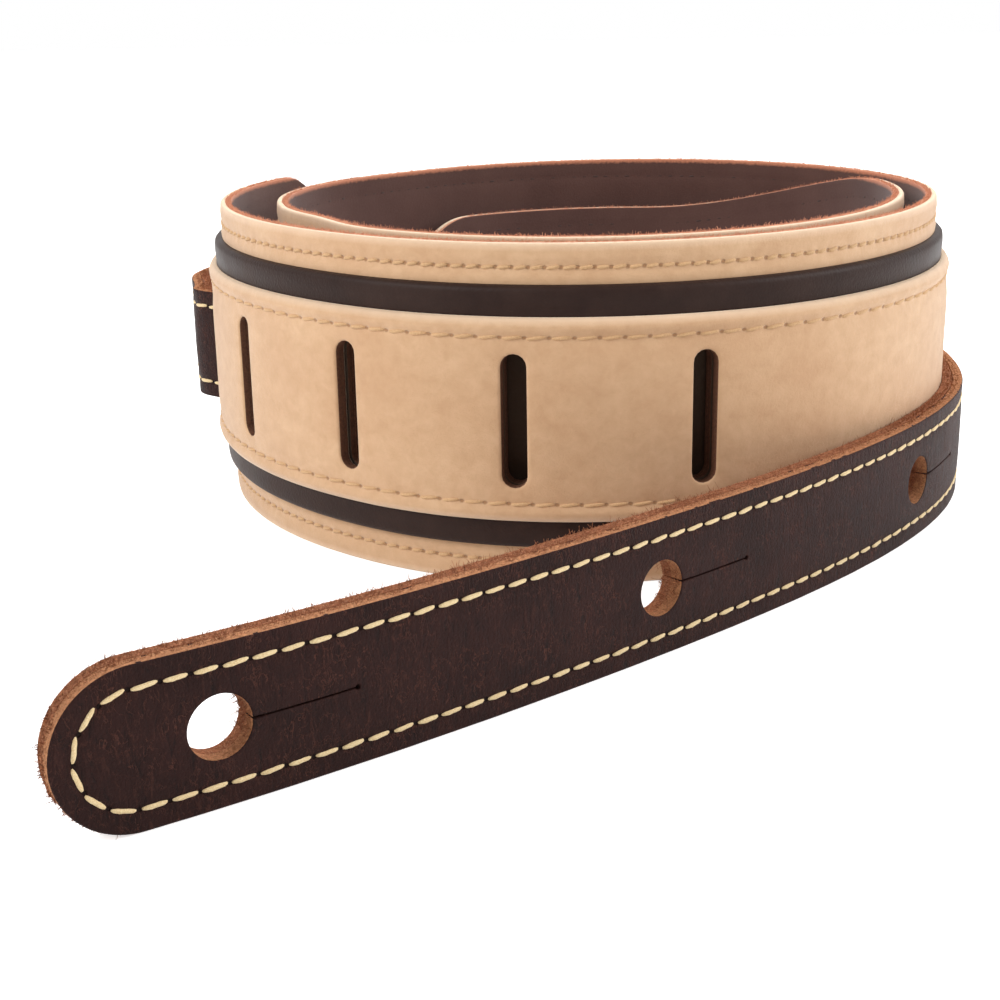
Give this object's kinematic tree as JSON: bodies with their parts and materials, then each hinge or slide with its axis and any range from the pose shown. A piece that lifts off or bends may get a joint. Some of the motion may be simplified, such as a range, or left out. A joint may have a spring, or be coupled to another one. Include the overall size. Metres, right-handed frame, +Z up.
{
  "type": "guitar strap",
  "caption": "Padded leather strap rolled into a standing coil, with a slotted layered band and a narrow tail with button holes that adjusts its length.",
  "frame": {"origin": "on the surface that the rolled strap stands on, under the centre of its whole outline", "axes": "+Z up along the band's width; +Y along the longest extent, from the free tail's side to the back of the coil; +X to the right"},
  "size_m": [0.1762, 0.2648, 0.0635],
  "materials": {
    "lining_leather": "soft brown suede-like lining",
    "tan_leather": "pale tan vegetable-tanned leather, satin",
    "dark_leather": "smooth dark brown garment leather, satin",
    "foam": "thin foam padding",
    "tan_thread": "light tan polyester thread",
    "dark_thread": "dark brown polyester thread",
    "tail_leather": "dark brown pull-up leather with fine grain",
    "raw_leather": "rough orange-brown flesh side and cut edge",
    "cream_thread": "heavy cream waxed thread"
  },
  "bodies": {
    "coil": {"lining": "lining_leather", "base_leather": "tan_leather", "padding": "foam", "inlay_leather": "dark_leather", "centre_panel": "tan_leather", "border_thread": "tan_thread", "border_bobbin_thread": "dark_thread", "panel_thread": "tan_thread", "tail_face_wrapped": "tail_leather", "tail_backing_wrapped": "raw_leather", "tail_thread_wrapped": "cream_thread", "tail_bobbin_thread_wrapped": "dark_thread"},
    "free_tail": {"tail_face_free": "tail_leather", "tail_backing_free": "raw_leather", "tail_thread_free": "cream_thread", "tail_bobbin_thread_free": "dark_thread"}
  },
  "joints": [
    {"name": "tail_flex", "type": "hinge", "parent": "coil", "child": "free_tail", "pos_m": [0.0821, 0.02337, 0], "axis": [0, 0, 1], "range_deg": [0, 30], "stiffness_Nm_per_rad": 0.15}
  ]
}
